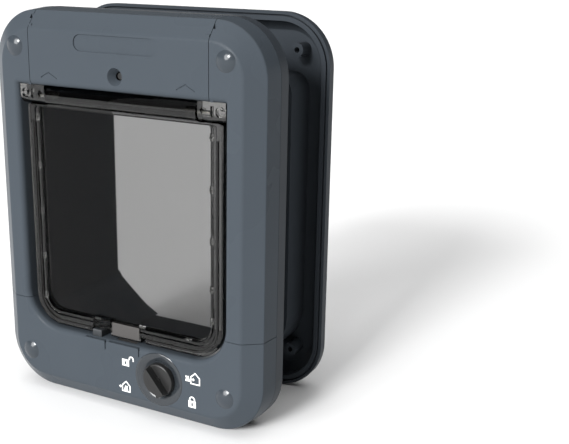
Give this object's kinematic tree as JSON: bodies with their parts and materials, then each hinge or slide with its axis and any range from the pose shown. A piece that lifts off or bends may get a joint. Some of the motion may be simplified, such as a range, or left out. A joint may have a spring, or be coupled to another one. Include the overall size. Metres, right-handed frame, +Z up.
{
  "type": "cat flap",
  "caption": "Microchip cat flap: bevelled indoor housing with a smoked swinging flap, latch, setting knob and battery cover, and an outdoor frame on a telescoping tunnel.",
  "frame": {"origin": "middle of the overall box, on the surface that the frames stand on", "axes": "+Z up, +Y from the room side to the outdoor side, +X to the right when seen from the room"},
  "size_m": [0.208, 0.1146, 0.266],
  "materials": {
    "slate_plastic": "moulded satin slate grey",
    "slate_frame": "moulded satin slate grey",
    "smoked_clear": "polished smoked clear",
    "clear_bracket": "polished clear",
    "black_plastic": "satin black",
    "seal_black": "pile strip",
    "magnet_grey": "dull plated",
    "steel": "bright",
    "guide_grey": "dark grey",
    "board_green": "lacquered",
    "chip_black": "moulded",
    "coil_copper": "enamelled wire, taped",
    "cell_jacket": "printed sleeve without words",
    "tray_black": "moulded"
  },
  "bodies": {
    "housing": {"front_shell": "slate_plastic", "lower_fascia": "slate_plastic", "back_plate": "slate_frame", "rear_frame": "slate_frame", "screw_cap_left_lower": "slate_plastic", "screw_cap_left_upper": "slate_plastic", "screw_cap_right_lower": "slate_plastic", "screw_cap_right_upper": "slate_plastic", "threshold_magnet": "magnet_grey", "hinge_bracket_left": "clear_bracket", "hinge_bracket_right": "clear_bracket", "hinge_pin_left": "steel", "hinge_pin_right": "steel", "latch_guide": "guide_grey", "latch_solenoid": "coil_copper", "selector_switch": "chip_black", "circuit_board": "board_green", "board_parts": "chip_black", "antenna_coil": "coil_copper", "battery_tray": "tray_black", "battery_contacts": "steel", "battery_left_lower": "cell_jacket", "battery_left_upper": "cell_jacket", "battery_right_lower": "cell_jacket", "battery_right_upper": "cell_jacket", "learn_switch": "chip_black", "case_screws": "steel"},
    "flap": {"flap_panel": "smoked_clear", "flap_seal": "seal_black", "flap_magnet": "magnet_grey", "latch_keeper": "smoked_clear"},
    "cover": {"battery_cover": "slate_plastic"},
    "latch": {"latch_pin": "steel", "latch_plunger": "steel"},
    "knob": {"lock_knob": "black_plastic", "knob_shaft": "black_plastic"},
    "button": {"learn_button": "black_plastic"}
  },
  "joints": [
    {"name": "flap_swing", "type": "hinge", "parent": "housing", "child": "flap", "pos_m": [0, -0.04225, 0.2098], "axis": [1, 0, 0], "range_deg": [-85, 85]},
    {"name": "cover_slide", "type": "slide", "parent": "housing", "child": "cover", "axis": [0, 0, 1], "range_m": [0, 0.045]},
    {"name": "latch_lift", "type": "slide", "parent": "housing", "child": "latch", "axis": [0, 0, 1], "range_m": [0, 0.006]},
    {"name": "knob_turn", "type": "hinge", "parent": "housing", "child": "knob", "pos_m": [0.0292, -0.05, 0.0305], "axis": [0, -1, 0], "range_deg": [0, 294]},
    {"name": "button_press", "type": "slide", "parent": "housing", "child": "button", "axis": [0, 1, 0], "range_m": [0, 0.001], "stiffness_N_per_m": 400}
  ]
}
